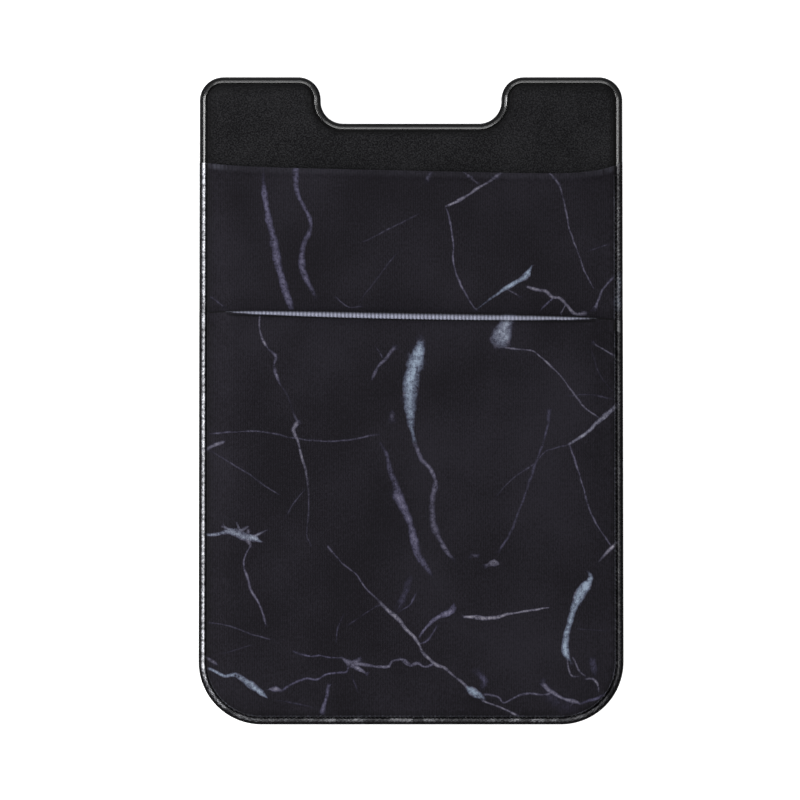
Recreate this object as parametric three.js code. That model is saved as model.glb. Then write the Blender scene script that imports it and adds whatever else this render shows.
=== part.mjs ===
// Stick-on card holder for the back of a phone.
// A soft panel with a pressed rim and a thumb notch carries two stretch-knit pockets, one over the
// other, welded along their sides and bottom and open at the top. Behind the panel lie the adhesive
// sheet and the release liner that is peeled off before use.
// Millimetres. X runs across the holder, +Y towards the thumb notch, +Z out of its front. It lies on
// its back, empty, with the liner's outer face at z = 0.

import * as THREE from "three";

// Panel outline
const panelWidth = 62.2;
const panelHeight = 95;
const bottomCornerRadius = 9.2;
const topCornerRadius = 3.5;
const notchWidth = 26.6;
const notchDepth = 6.85;
const notchShoulderRadius = 3.3;
const notchRootRadius = 3.3;

// Panel section from the edge inwards, heights from the panel's back: a flat land, a bead that rises
// gently and falls steeply, a pressed groove and the round shoulder up to the soft field
const panelThickness = 0.9;
const landWidth = 0.36;
const beadWidth = 0.55;
const beadCrest = 0.62;
const beadHeight = 0.76;
const grooveWidth = 0.21;
const grooveFloor = 0.5;
const shoulderWidth = 0.28;

// Pockets: stretch knit, pressed thin where it is welded over the rim
const knitThickness = 0.45;
const weldedKnitThickness = 0.14;
const weldLine = 0.02;
const cardGap = 0.3;
const cardGapRunIn = 4;

// Rear pocket's mouth: its ends lie this far below the notch's floor and it sags between them. The
// knit is turned under along it, which leaves a low step where the hem ends
const rearMouthDrop = 5.7;
const rearMouthSag = 1.36;
const rearMouthLean = 0.7;
const hemDepth = 1.3;
const hemStep = 0.3;
const hemBulge = 0.14;

// Front pocket's mouth: the middle between its ends lies this far below the rear pocket's ends. It
// falls to the right and bows up a little. Its edge rolls forward into a round lip, thickest in the
// middle, which thins out to nothing before it reaches the sides
const frontMouthDrop = 22.66;
const frontMouthFall = 0.57;
const frontMouthBow = 0.62;
const lipRoll = 1;
const lipFullness = 0.8;
const lipEndInset = 4;

// Adhesive sheet and release liner
const adhesiveThickness = 0.2;
const linerThickness = 0.12;
const adhesiveMargin = 2;

// Facets
const bottomCornerSteps = 12;
const smallCornerSteps = 6;
const noseSteps = 8;
const shoulderSteps = 3;
const runInSteps = 4;
const smallestRadius = 0.2;

const { clamp, lerp, smoothstep } = THREE.MathUtils;
const halfWidth = panelWidth / 2;
const halfHeight = panelHeight / 2;
const notchFloor = halfHeight - notchDepth;
const grooveEnd = landWidth + beadWidth + grooveWidth;
const fieldInset = grooveEnd + shoulderWidth;
const looseInset = fieldInset + cardGapRunIn;

// The notch's two fillets share its wall
const notchFilletShare = Math.min(1, notchDepth / (notchShoulderRadius + notchRootRadius));

const directions = {
  right: [1, 0],
  up: [0, 1],
  left: [-1, 0],
  down: [0, -1],
};

// Points of a quarter round at a corner between two straight runs
function roundedCorner(x, y, from, to, radius, steps) {
  const [ax, ay] = directions[from];
  const [bx, by] = directions[to];
  return Array.from({ length: steps + 1 }, (_, i) => {
    const angle = (Math.PI / 2) * (i / steps);
    const back = radius * (Math.sin(angle) - 1);
    const ahead = radius * (1 - Math.cos(angle));
    return [x + ax * back + bx * ahead, y + ay * back + by * ahead];
  });
}

// The two lower corners, from the left side round to the right, at a distance in from the edge
function lowerCorners(inset) {
  const side = halfWidth - inset;
  const bottom = inset - halfHeight;
  const radius = Math.max(bottomCornerRadius - inset, smallestRadius);
  return [
    ...roundedCorner(-side, bottom, "down", "right", radius, bottomCornerSteps),
    ...roundedCorner(side, bottom, "right", "up", radius, bottomCornerSteps),
  ];
}

// The whole outline with its thumb notch, anticlockwise, with the same points at every inset
function panelOutline(inset) {
  const side = halfWidth - inset;
  const top = halfHeight - inset;
  const wall = notchWidth / 2 + inset;
  const floor = notchFloor - inset;
  const corner = Math.max(topCornerRadius - inset, smallestRadius);
  const shoulder = Math.max(notchShoulderRadius * notchFilletShare - inset, smallestRadius);
  const root = notchRootRadius * notchFilletShare + inset;
  return [
    ...lowerCorners(inset),
    ...roundedCorner(side, top, "up", "left", corner, smallCornerSteps),
    ...roundedCorner(wall, top, "left", "down", shoulder, smallCornerSteps),
    ...roundedCorner(wall, floor, "down", "left", root, smallCornerSteps),
    ...roundedCorner(-wall, floor, "left", "up", root, smallCornerSteps),
    ...roundedCorner(-wall, top, "up", "left", shoulder, smallCornerSteps),
    ...roundedCorner(-side, top, "left", "down", corner, smallCornerSteps),
  ];
}

// How far the shoulder has risen from the groove, 0, to the field, 1. A pocket's knit swells with it
function fullnessAt(inset) {
  const left = 1 - clamp((inset - grooveEnd) / shoulderWidth, 0, 1);
  return Math.sqrt(1 - left ** 2);
}

// Height of the panel's face at a distance in from its edge
function panelFace(inset) {
  if (inset > grooveEnd) return lerp(grooveFloor, panelThickness, fullnessAt(inset));
  const across = clamp((inset - landWidth) / beadWidth, 0, 1);
  const rise = Math.sin((Math.PI / 2) * Math.min(across / beadCrest, 1));
  const fallen = Math.max((across - beadCrest) / (1 - beadCrest), 0);
  return lerp(grooveFloor, beadHeight, (rise * (1 + Math.cos(Math.PI * fallen))) / 2);
}

function knitAt(inset) {
  return lerp(weldedKnitThickness, knitThickness, fullnessAt(inset));
}

// What an empty pocket stands off from the layer below it
function slack(inset) {
  return weldLine + cardGap * smoothstep(inset, fieldInset, looseInset);
}

const rearUnder = (inset) => panelFace(inset) + slack(inset);
const rearOver = (inset) => rearUnder(inset) + knitAt(inset);
const frontUnder = (inset) => rearOver(inset) + slack(inset);

// Insets at which the pressed rim is sampled, and the pockets' run-in after it
const rimInsets = [
  0,
  ...[0, 0.2, 0.4, beadCrest, 0.81, 1].map((t) => landWidth + t * beadWidth),
  ...Array.from({ length: shoulderSteps + 1 }, (_, i) => {
    const turn = (Math.PI / 2) * (i / shoulderSteps);
    return grooveEnd + shoulderWidth * (1 - Math.cos(turn));
  }),
];
const pocketInsets = [
  ...rimInsets,
  ...Array.from({ length: runInSteps }, (_, i) => fieldInset + (cardGapRunIn * (i + 1)) / runInSteps),
];

// A surface gathered vertex by vertex
class Skin {
  positions = [];
  faces = [];

  vertex(x, y, z) {
    this.positions.push(x, y, z);
    return this.positions.length / 3 - 1;
  }

  triangle(a, b, c) {
    if (a !== b && b !== c && c !== a) this.faces.push(a, b, c);
  }

  quad(a, b, c, d) {
    this.triangle(a, b, c);
    this.triangle(a, c, d);
  }

  // Joins two rows of the same length, the second to the left of the first
  band(first, second) {
    for (let i = 0; i + 1 < first.length; i++) {
      this.quad(first[i], first[i + 1], second[i + 1], second[i]);
    }
  }

  geometry() {
    const geometry = new THREE.BufferGeometry();
    geometry.setAttribute("position", new THREE.Float32BufferAttribute(this.positions, 3));
    geometry.setIndex(this.faces);
    const faceted = geometry.toNonIndexed();
    faceted.computeVertexNormals();
    return faceted;
  }
}

// A sheet with the panel's outline: rings of inset and height, closed flat at the back and the front
function outlinedSheet(sections) {
  const skin = new Skin();
  const outlines = sections.map(([inset]) => panelOutline(inset));
  const rings = outlines.map((outline, i) => outline.map(([x, y]) => skin.vertex(x, y, sections[i][1])));
  for (let i = 0; i + 1 < rings.length; i++) {
    skin.band([...rings[i], rings[i][0]], [...rings[i + 1], rings[i + 1][0]]);
  }
  const close = (outline, ring, turned) => {
    const contour = outline.map(([x, y]) => new THREE.Vector2(x, y));
    for (const [a, b, c] of THREE.ShapeUtils.triangulateShape(contour, [])) {
      if (turned) skin.triangle(ring[c], ring[b], ring[a]);
      else skin.triangle(ring[a], ring[b], ring[c]);
    }
  };
  close(outlines[0], rings[0], true);
  close(outlines.at(-1), rings.at(-1), false);
  return skin.geometry();
}

// Section through the rear pocket's hem, from the knit's face over the nose to its underside: the
// turned-under knit lifts the face by a low step, and the fold is round
function hemSection(mouth, low, high, fullness) {
  const crest = high + hemBulge * fullness;
  const base = mouth - hemDepth;
  const radius = (crest - low) / 2;
  const centre = mouth - Math.min(radius, (hemDepth - hemStep) / 2);
  const nose = Array.from({ length: noseSteps }, (_, i) => {
    const angle = Math.PI * (0.5 - i / (noseSteps - 1));
    return [centre + (mouth - centre) * Math.cos(angle), low + radius * (1 + Math.sin(angle))];
  });
  return [[base, high], [base + hemStep, crest], ...nose, [base, low]];
}

// Section through the front pocket's lip: a roll that stands on the knit's underside and meets its
// face in a crease. Where the roll is no thicker than the knit, only a round edge is left
function lipSection(mouth, low, high, fullness, x) {
  const lens = Math.max(1 - (x / (halfWidth - lipEndInset)) ** 2, 0) ** lipFullness;
  const roll = Math.max(lipRoll - knitThickness, 0) * fullness * lens;
  const radius = (high - low + roll) / 2;
  const centre = mouth - radius;
  const crease = Math.PI - Math.asin((high - low - radius) / radius);
  const round = Array.from({ length: noseSteps + 1 }, (_, i) => {
    const angle = lerp(crease, -Math.PI / 2, i / noseSteps);
    return [centre + radius * Math.cos(angle), low + radius * (1 + Math.sin(angle))];
  });
  const base = mouth - 1.5 * lipRoll;
  return [[base, high], ...round, [base, low]];
}

// A pocket: an open-topped sheet over the panel's lower part. The section through its mouth is given
// by the fold
function pocketSheet(under, mouth, fold) {
  const skin = new Skin();
  const over = (inset) => under(inset) + knitAt(inset);

  const sides = pocketInsets.map((inset) => halfWidth - inset);
  const cornerPoints = 2 * (bottomCornerSteps + 1);
  const across = Array.from({ length: cornerPoints }, (_, i) => {
    const t = (i + 1) / (cornerPoints + 1);
    return sides.at(-1) * (2 * t - 1);
  });
  const columns = [...sides.map((x) => -x), ...across, ...sides.toReversed()];

  const sections = columns.map((x) => {
    const inset = Math.min(halfWidth - Math.abs(x), looseInset);
    const section = fold(mouth(x), under(inset), over(inset), fullnessAt(inset), x);
    return section.map(([y, z]) => skin.vertex(x, y, z));
  });
  for (let i = 0; i + 1 < sections.length; i++) skin.band(sections[i + 1], sections[i]);

  // The two ends of the fold
  const cap = (section, turned) => {
    const foot = section.at(-1);
    for (let i = 0; i + 2 < section.length; i++) {
      if (turned) skin.triangle(foot, section[i + 1], section[i]);
      else skin.triangle(foot, section[i], section[i + 1]);
    }
  };
  cap(sections[0], false);
  cap(sections.at(-1), true);

  // Rows round the sides and bottom at each inset, ending in the fold's own vertices
  const rows = (height, place) =>
    pocketInsets.map((inset, i) => [
      sections[i].at(place),
      ...lowerCorners(inset).map(([x, y]) => skin.vertex(x, y, height(inset))),
      sections[sections.length - 1 - i].at(place),
    ]);
  const face = rows(over, 0);
  const back = rows(under, -1);
  skin.band(back[0], face[0]);
  for (let i = 0; i + 1 < face.length; i++) {
    skin.band(face[i], face[i + 1]);
    skin.band(back[i + 1], back[i]);
  }

  // The flat middle, between the innermost row and the fold
  const middle = sections.slice(sides.length - 1, sections.length - sides.length + 1);
  skin.band(face.at(-1), middle.map((section) => section[0]));
  skin.band(middle.map((section) => section.at(-1)), back.at(-1));
  return skin.geometry();
}

const rearMouthEnds = notchFloor - rearMouthDrop;
const frontMouthEnds = rearMouthEnds - frontMouthDrop;

// Height of each mouth across the holder
function rearMouth(x) {
  const across = x / halfWidth;
  return rearMouthEnds - (rearMouthSag + rearMouthLean * across) * (1 - across ** 8);
}

function frontMouth(x) {
  const across = x / halfWidth;
  return frontMouthEnds - frontMouthFall * across + frontMouthBow * (1 - across ** 4);
}

function material(color, roughness) {
  return new THREE.MeshStandardMaterial({ color, roughness, metalness: 0 });
}

const suede = material("#222224", 0.75);
const printedKnit = material("#26242a", 0.85);
const adhesive = material("#e4e4dc", 0.4);
const linerPaper = material("#f1efe6", 0.55);

function sheetMesh(name, geometry, finish, z) {
  const mesh = new THREE.Mesh(geometry, finish);
  mesh.name = name;
  mesh.position.z = z;
  return mesh;
}

function flatSheet(thickness) {
  return outlinedSheet([
    [adhesiveMargin, 0],
    [adhesiveMargin, thickness],
  ]);
}

const panelSections = [[0, 0], ...rimInsets.map((inset) => [inset, panelFace(inset)])];
const panelBack = linerThickness + adhesiveThickness;

const holder = new THREE.Group();
holder.name = "card_holder";
holder.add(
  sheetMesh("release_liner", flatSheet(linerThickness), linerPaper, 0),
  sheetMesh("adhesive_sheet", flatSheet(adhesiveThickness), adhesive, linerThickness),
  sheetMesh("back_panel", outlinedSheet(panelSections), suede, panelBack),
  sheetMesh(
    "rear_pocket",
    pocketSheet(rearUnder, rearMouth, hemSection),
    printedKnit,
    panelBack,
  ),
  sheetMesh(
    "front_pocket",
    pocketSheet(frontUnder, frontMouth, lipSection),
    printedKnit,
    panelBack,
  ),
);

export default holder;
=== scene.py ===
"""Dresses the stick-on phone card holder: a black microfibre panel with a pressed, glossy rim, two
stretch-knit pockets printed as black marble and welded round its edge, the adhesive sheet and its
release liner. Lengths are in metres, X across the holder and +Y towards the thumb notch."""

import math
from collections import namedtuple

import bpy
import numpy as np
from bpy.props import FloatProperty, FloatVectorProperty, IntProperty, PointerProperty
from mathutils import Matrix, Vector, noise
from mathutils.geometry import delaunay_2d_cdt


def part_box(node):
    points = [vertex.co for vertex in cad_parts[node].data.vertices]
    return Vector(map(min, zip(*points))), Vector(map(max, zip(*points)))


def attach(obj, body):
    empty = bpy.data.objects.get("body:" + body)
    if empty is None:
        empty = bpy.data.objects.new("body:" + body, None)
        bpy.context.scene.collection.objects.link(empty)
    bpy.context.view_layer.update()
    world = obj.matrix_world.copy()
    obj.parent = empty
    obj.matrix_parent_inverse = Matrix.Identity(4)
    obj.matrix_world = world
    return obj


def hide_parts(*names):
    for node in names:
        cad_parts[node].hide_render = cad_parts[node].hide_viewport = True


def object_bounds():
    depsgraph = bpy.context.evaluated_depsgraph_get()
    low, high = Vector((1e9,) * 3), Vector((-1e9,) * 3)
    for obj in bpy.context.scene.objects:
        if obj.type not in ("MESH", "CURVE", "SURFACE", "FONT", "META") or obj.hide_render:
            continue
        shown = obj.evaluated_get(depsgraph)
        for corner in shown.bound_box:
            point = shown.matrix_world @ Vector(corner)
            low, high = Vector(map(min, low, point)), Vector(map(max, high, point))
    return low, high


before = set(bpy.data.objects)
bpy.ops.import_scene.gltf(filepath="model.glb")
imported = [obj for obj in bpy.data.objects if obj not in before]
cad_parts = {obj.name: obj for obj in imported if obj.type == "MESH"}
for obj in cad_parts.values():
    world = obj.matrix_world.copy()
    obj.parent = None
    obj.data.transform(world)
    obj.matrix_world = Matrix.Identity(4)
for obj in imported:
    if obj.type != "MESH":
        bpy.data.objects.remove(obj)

bl_info = {
    "name": "Stick-on Card Holder",
    "version": (1, 0, 0),
    "blender": (4, 5, 0),
    "location": "3D View > Sidebar > Card Holder",
    "description": "Builds the panel, the knitted pockets and the adhesive back of a phone card holder",
    "category": "Object",
}

MM = 0.001
CAD_LOW, CAD_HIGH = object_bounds()
PANEL_LOW, PANEL_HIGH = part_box("back_panel")
HALF_WIDTH = PANEL_HIGH.x
HALF_HEIGHT = PANEL_HIGH.y
PANEL_BACK = PANEL_LOW.z
REAR_MOUTH_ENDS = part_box("rear_pocket")[1].y

# The print: each vein has a strength, a coolness from violet at 0 through grey at about 0.3 to
# blue-grey at 1, a half width in millimetres, and its points in millimetres from the holder's middle.
# The strength and the half width are one number, or one for each point. A vein of negative strength
# is a dark hole in those it crosses
Vein = namedtuple("Vein", "strength coolness width points")
REAR_VEINS = (
    Vein(
        (0.15, 0.25, 0.7, 0.4, 0.42, 0.44, 0.46, 0.52, 0.55),
        0.08,
        (0.2, 0.26, 0.36, 0.4, 0.5, 0.52, 0.48, 0.44, 0.38),
        (
            (-21.6, 33.8), (-21.6, 31.6), (-21.5, 30.4), (-21.0, 27.3), (-20.2, 24.0), (-19.6, 20.6),
            (-19.0, 18.1), (-18.3, 15.6), (-17.5, 13.4),
        ),
    ),
    Vein(
        (0.48, 0.44, 0.42, 0.44, 0.42, 0.36, 0.38, 0.36, 0.4, 0.42, 0.25),
        0.1,
        (0.42, 0.38, 0.3, 0.27, 0.3, 0.36, 0.36, 0.46, 0.46, 0.34, 0.24),
        (
            (-16.8, 34.0), (-16.9, 31.9), (-16.5, 29.8), (-15.6, 28.1), (-14.7, 26.0), (-14.8, 24.8),
            (-15.7, 22.7), (-16.0, 20.6), (-15.8, 18.7), (-14.9, 16.8), (-14.1, 15.3),
        ),
    ),
    Vein(0.22, 0.2, 0.17, ((-29.1, 14.9), (-27.6, 13.7))),
    Vein(0.3, 0.2, 0.16, ((-11.0, 15.0), (-8.8, 13.5), (-7.7, 13.7))),
    Vein(0.18, 0.2, 0.16, ((1.2, 27.2), (-2.7, 25.3), (-6.9, 23.1))),
    Vein(0.15, 0.2, 0.16, ((-2.1, 21.5), (-7.4, 14.6))),
    Vein(0.3, 0.3, 0.16, ((7.6, 33.5), (9.8, 31.6))),
    Vein(
        (0.3, 0.4, 0.6, 0.6, 0.5),
        0.3,
        0.2,
        ((13.2, 33.3), (11.9, 32.3), (10.1, 31.2), (7.4, 29.4), (5.1, 28.3)),
    ),
    Vein(0.42, 0.2, 0.17, ((5.1, 28.2), (5.6, 26.5), (6.2, 22.6), (6.2, 20.1), (7.3, 16.8), (9.2, 13.4))),
    Vein(0.35, 0.2, 0.26, ((2.9, 33.2), (2.4, 32.3))),
    Vein(
        0.36,
        0.25,
        0.16,
        (
            (20.1, 33.5), (21.7, 31.5), (22.5, 28.5), (23.3, 24.8), (24.5, 21.5), (26.0, 17.6),
            (26.7, 16.5),
        ),
    ),
    Vein(
        (0.8, 1.0, 0.95, 0.85, 0.6, 0.3),
        1.0,
        (0.1, 0.36, 0.32, 0.22, 0.15, 0.12),
        ((17.7, 19.6), (16.9, 18.2), (15.2, 17.1), (13.2, 15.9), (12.2, 15.2), (9.8, 13.3)),
    ),
    Vein(0.35, 0.4, 0.16, ((14.1, 16.2), (15.7, 15.3))),
    Vein(
        0.6,
        0.4,
        0.22,
        (
            (17.0, 16.5), (18.6, 16.0), (19.7, 15.9), (20.8, 14.9), (21.7, 14.9), (22.6, 14.0),
            (24.2, 12.5), (25.6, 12.7),
        ),
    ),
    Vein(0.5, 0.3, 0.17, ((22.6, 14.0), (22.0, 12.7))),
    Vein(0.35, 0.1, 0.18, ((20.8, 14.9), (19.2, 13.4))),
    Vein(
        0.45,
        0.2,
        (0.3, 0.2, 0.16, 0.16, 0.2),
        (
            (26.9, 13.4), (27.2, 13.9), (27.6, 14.9), (28.0, 15.9), (29.8, 18.1),
        ),
    ),
    Vein(0.75, 0.8, 0.45, ((30.6, 18.4), (30.5, 16.6), (30.4, 15.0), (30.5, 13.5))),
    Vein(0.18, 0.2, 0.15, ((28.9, 22.8), (26.4, 21.9))),
)

FRONT_VEINS = (
    Vein(0.5, 0.3, (0.18, 0.2, 0.24, 0.18), ((-22.1, 12.2), (-22.1, 10.3), (-21.8, 9.0), (-20.9, 7.4))),
    Vein(
        (0.3, 0.45, 0.3, 0.42, 0.22, 0.12, 0.1, 0.35),
        0.2,
        (0.16, 0.26, 0.18, 0.26, 0.17, 0.16, 0.16, 0.2),
        (
            (-20.9, 7.4), (-19.7, 6.3), (-20.0, 5.2), (-19.6, 3.4), (-19.1, 2.2), (-18.2, 0.9),
            (-17.4, -1.3), (-16.6, -3.4),
        ),
    ),
    Vein(
        (0.65, 0.6, 0.5, 0.55, 0.35, 0.2),
        0.3,
        (0.34, 0.28, 0.2, 0.2, 0.18, 0.16),
        (
            (-16.6, -3.4), (-17.2, -4.2), (-16.6, -5.9), (-15.9, -8.4), (-15.3, -10.8), (-14.9, -14.2),
        ),
    ),
    Vein(0.2, 0.2, 0.15, ((-14.9, -14.2), (-15.0, -17.2), (-15.1, -20.1), (-14.6, -21.3))),
    Vein(
        0.26,
        0.2,
        0.16,
        (
            (-29.5, -5.0), (-25.1, -4.7), (-21.8, -4.7), (-18.2, -5.4), (-13.7, -6.0), (-10.3, -6.0),
            (-4.9, -5.1),
        ),
    ),
    Vein(0.45, 0.3, 0.24, ((-30.3, -7.5), (-29.4, -7.0), (-27.5, -6.2))),
    Vein(0.25, 0.2, 0.16, ((-29.0, -7.6), (-26.3, -9.3), (-24.1, -10.6), (-20.4, -13.2), (-19.3, -13.9))),
    Vein(0.42, 0.2, 0.24, ((-2.5, 7.4), (-3.8, 5.9), (-4.9, 4.6), (-5.6, 3.1))),
    Vein(0.3, 0.2, 0.16, ((-4.9, 7.4), (-4.1, 6.0))),
    Vein(0.35, 0.2, 0.3, ((-2.8, -1.9), (-2.8, -2.6))),
    Vein(
        (0.8, 0.85, 0.85, 0.8, 0.85, 0.75, 0.6, 0.5),
        1.0,
        (0.6, 0.9, 1.08, 1.08, 0.88, 0.58, 0.36, 0.3),
        (
            (1.5, 8.3), (1.0, 6.6), (0.4, 4.5), (0.0, 2.3), (-0.1, 0.1), (-0.1, -2.1), (0.1, -4.3),
            (0.6, -6.5),
        ),
    ),
    Vein(-0.75, 1.0, 0.2, ((0.9, 4.6), (0.6, 2.8))),
    Vein(
        (0.5, 0.5, 0.55, 0.5, 0.4, 0.38, 0.36, 0.4, 0.36, 0.2),
        0.2,
        (0.3, 0.3, 0.27, 0.28, 0.4, 0.46, 0.4, 0.34, 0.28, 0.2),
        (
            (0.6, -6.5), (1.6, -8.8), (2.9, -10.3), (3.6, -11.9), (3.2, -14.0), (3.1, -16.3), (3.4, -18.5),
            (4.3, -20.6), (5.4, -22.4), (6.5, -23.6),
        ),
    ),
    Vein(
        (0.2, 0.25, 0.32, 0.38, 0.45, 0.52, 0.58, 0.55, 0.4, 0.2),
        0.1,
        (0.2, 0.28, 0.38, 0.45, 0.5, 0.5, 0.52, 0.5, 0.4, 0.2),
        (
            (-4.5, -6.3), (-3.6, -7.9), (-3.0, -10.3), (-2.2, -12.6), (-1.6, -14.8), (-0.3, -17.6),
            (0.4, -20.4), (1.0, -22.6), (2.2, -24.4), (3.1, -25.7),
        ),
    ),
    Vein(
        (0.75, 0.8, 0.85, 0.85),
        0.7,
        (0.72, 0.95, 1.15, 0.8),
        ((14.2, 12.2), (13.6, 10.4), (13.0, 8.9), (12.6, 8.1)),
    ),
    Vein(-0.5, 1.0, 0.4, ((13.1, 9.4), (12.8, 8.4))),
    Vein(
        0.4,
        0.3,
        0.16,
        (
            (13.0, 7.7), (15.4, 7.4), (18.2, 6.9), (19.2, 5.9), (21.7, 3.6), (24.0, 0.5), (25.8, -1.6),
            (27.4, -2.6),
        ),
    ),
    Vein(0.35, 0.3, 0.16, ((26.9, 8.1), (30.1, 6.2))),
    Vein(0.15, 0.2, 0.15, ((26.4, 7.2), (27.6, 3.6), (29.4, 1.3))),
    Vein(0.18, 0.2, 0.15, ((22.9, 0.5), (26.0, 0.7), (29.7, 0.0))),
    Vein(0.68, 0.5, (0.34, 0.28, 0.22, 0.17), ((30.3, -0.7), (27.8, -2.8), (25.4, -5.0), (23.1, -6.5))),
    Vein(0.2, 0.2, 0.15, ((23.1, -6.5), (19.2, -7.9), (18.2, -9.1), (15.0, -11.4), (12.3, -14.2))),
    Vein(0.35, 0.1, 0.3, ((20.2, -1.7), (20.1, -3.1))),
    Vein(
        0.24,
        0.1,
        0.18,
        (
            (20.1, -3.1), (19.2, -6.5), (18.2, -9.2), (16.6, -13.9), (15.4, -17.2), (14.1, -20.1),
            (12.8, -22.2),
        ),
    ),
    Vein(0.6, 0.3, (0.3, 0.45, 0.3), ((11.2, -24.1), (11.9, -23.8), (12.6, -23.9))),
    Vein(0.4, 0.2, 0.24, ((8.9, -22.8), (9.5, -22.8))),
    Vein(
        0.35,
        0.2,
        0.16,
        (
            (23.1, -6.5), (23.8, -8.7), (25.1, -12.7), (25.8, -15.4), (27.2, -18.4), (29.2, -21.3),
        ),
    ),
    Vein(
        (0.75, 0.6, 0.4, 0.15),
        0.3,
        (0.22, 0.2, 0.16, 0.14),
        ((30.3, -20.8), (28.7, -22.1), (27.8, -23.1), (26.9, -24.3)),
    ),
    Vein(
        (0.45, 0.95, 1.0, 0.95, 0.9, 0.9, 0.9, 0.95, 1.0, 0.9, 0.5),
        1.0,
        (0.12, 0.38, 0.6, 0.58, 0.46, 0.38, 0.36, 0.4, 0.48, 0.42, 0.2),
        (
            (25.9, -25.2), (26.2, -25.9), (25.7, -26.9), (24.7, -28.2), (24.0, -29.6), (23.4, -31.3),
            (22.9, -33.1), (22.5, -34.8), (22.4, -36.3), (22.7, -37.3), (23.2, -38.2),
        ),
    ),
    Vein(0.35, 0.3, 0.16, ((22.8, -37.6), (22.8, -38.5), (22.9, -39.3), (23.3, -40.2), (24.5, -40.3))),
    Vein(0.4, 0.3, 0.17, ((23.6, -37.6), (24.1, -38.6), (24.6, -39.6), (25.4, -40.2))),
    Vein(0.6, 0.3, 0.21, ((25.4, -40.7), (26.5, -40.7), (27.2, -41.4), (27.3, -42.4))),
    Vein(0.28, 0.0, 0.48, ((26.4, -38.1), (26.7, -39.8))),
    Vein(
        0.62,
        0.2,
        (0.24, 0.3, 0.24, 0.22, 0.26, 0.22),
        (
            (19.3, -41.6), (20.2, -42.4), (21.1, -43.0), (22.4, -43.6), (23.6, -43.9), (24.7, -44.3),
        ),
    ),
    Vein(0.5, 0.2, 0.16, ((23.3, -44.7), (23.8, -44.1))),
    Vein(0.13, 0.0, 0.9, ((19.7, -42.7), (21.9, -44.4), (24.1, -45.1))),
    Vein(0.42, 0.0, 0.22, ((25.0, -44.2), (26.0, -43.9), (26.9, -43.7), (28.3, -43.0))),
    Vein(
        0.48,
        0.2,
        0.17,
        (
            (10.3, -42.9), (11.4, -43.0), (12.8, -43.5), (13.4, -44.2), (14.6, -43.6), (15.9, -43.0),
            (17.5, -42.8), (18.4, -43.0), (20.0, -42.9), (20.5, -42.6),
        ),
    ),
    Vein(0.16, 0.2, 0.14, ((24.2, -33.4), (28.3, -33.7))),
    Vein(
        0.75,
        0.7,
        (0.16, 0.2, 0.3, 0.52, 0.6, 0.45, 0.2),
        (
            (-30.1, -19.8), (-27.5, -19.5), (-26.8, -19.2), (-25.4, -19.5), (-24.1, -20.0), (-22.8, -20.3),
            (-21.9, -20.7),
        ),
    ),
    Vein(0.5, 0.4, 0.27, ((-23.7, -19.1), (-24.0, -19.8), (-23.4, -21.3))),
    Vein(0.5, 0.5, 0.2, ((-27.3, -18.5), (-25.9, -19.3))),
    Vein(0.55, 0.5, (0.14, 0.26, 0.14), ((-25.4, -17.9), (-24.9, -19.1), (-23.8, -18.5))),
    Vein((0.6, 0.5, 0.2), 0.5, 0.2, ((-24.1, -20.5), (-22.7, -19.9), (-20.9, -19.0))),
    Vein(
        0.42,
        0.2,
        0.18,
        (
            (-23.4, -21.3), (-24.1, -22.6), (-24.4, -24.2), (-23.8, -26.1), (-23.2, -28.0), (-22.3, -29.4),
            (-21.6, -31.1), (-21.1, -32.8),
        ),
    ),
    Vein(0.2, 0.2, 0.15, ((-15.5, -13.2), (-17.1, -15.1), (-18.2, -17.0))),
    Vein(0.35, 0.2, 0.17, ((-12.1, -21.4), (-9.7, -24.2), (-8.1, -25.4), (-6.9, -27.1), (-4.7, -29.4))),
    Vein(
        0.62,
        0.3,
        (0.18, 0.2, 0.3, 0.2, 0.2, 0.2, 0.2, 0.2, 0.2, 0.2, 0.2, 0.2, 0.25),
        (
            (-4.7, -29.4), (-3.4, -30.7), (-2.2, -31.7), (-0.7, -33.5), (0.5, -34.7), (1.2, -35.7),
            (1.6, -36.7), (2.4, -37.5), (3.8, -38.7), (4.9, -39.1), (6.2, -40.2), (7.4, -41.2),
            (8.3, -42.1),
        ),
    ),
    Vein(
        1.0,
        0.9,
        (0.22, 0.55, 0.6, 0.5, 0.25),
        (
            (8.1, -41.9), (8.8, -42.4), (9.3, -42.8), (9.8, -43.0), (10.5, -43.5),
        ),
    ),
    Vein(0.5, 0.4, 0.17, ((9.8, -43.2), (10.5, -43.9), (12.3, -44.6), (13.9, -45.3), (15.7, -46.2))),
    Vein(0.2, 0.1, 0.16, ((-3.8, -29.9), (-4.7, -30.0), (-5.8, -30.6), (-7.6, -31.8), (-9.0, -32.7))),
    Vein(0.2, 0.1, 0.16, ((-9.8, -31.3), (-10.6, -33.0), (-11.0, -35.3))),
    Vein(0.2, 0.0, 0.45, ((-0.2, -26.0), (-0.7, -27.8), (-1.8, -30.3))),
    Vein(0.3, 0.1, 0.17, ((0.7, -28.3), (-0.2, -29.9), (-1.8, -31.0))),
    Vein(0.3, 0.1, 0.16, ((-1.3, -29.2), (-2.0, -30.6))),
    Vein(
        0.65,
        0.1,
        (0.38, 0.42, 0.32, 0.24, 0.18, 0.15),
        (
            (6.1, -30.4), (5.8, -30.9), (4.9, -31.3), (3.5, -32.0), (2.4, -33.0), (1.3, -34.4),
        ),
    ),
    Vein(0.35, 0.1, 0.17, ((3.7, -33.0), (2.9, -34.4), (2.0, -35.3), (1.2, -35.6))),
    Vein(
        0.78,
        0.4,
        (0.15, 0.26, 0.21, 0.21, 0.17, 0.16, 0.15, 0.12),
        (
            (7.7, -31.7), (9.6, -31.7), (10.7, -31.9), (12.3, -31.7), (14.6, -31.2), (16.4, -30.9),
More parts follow.
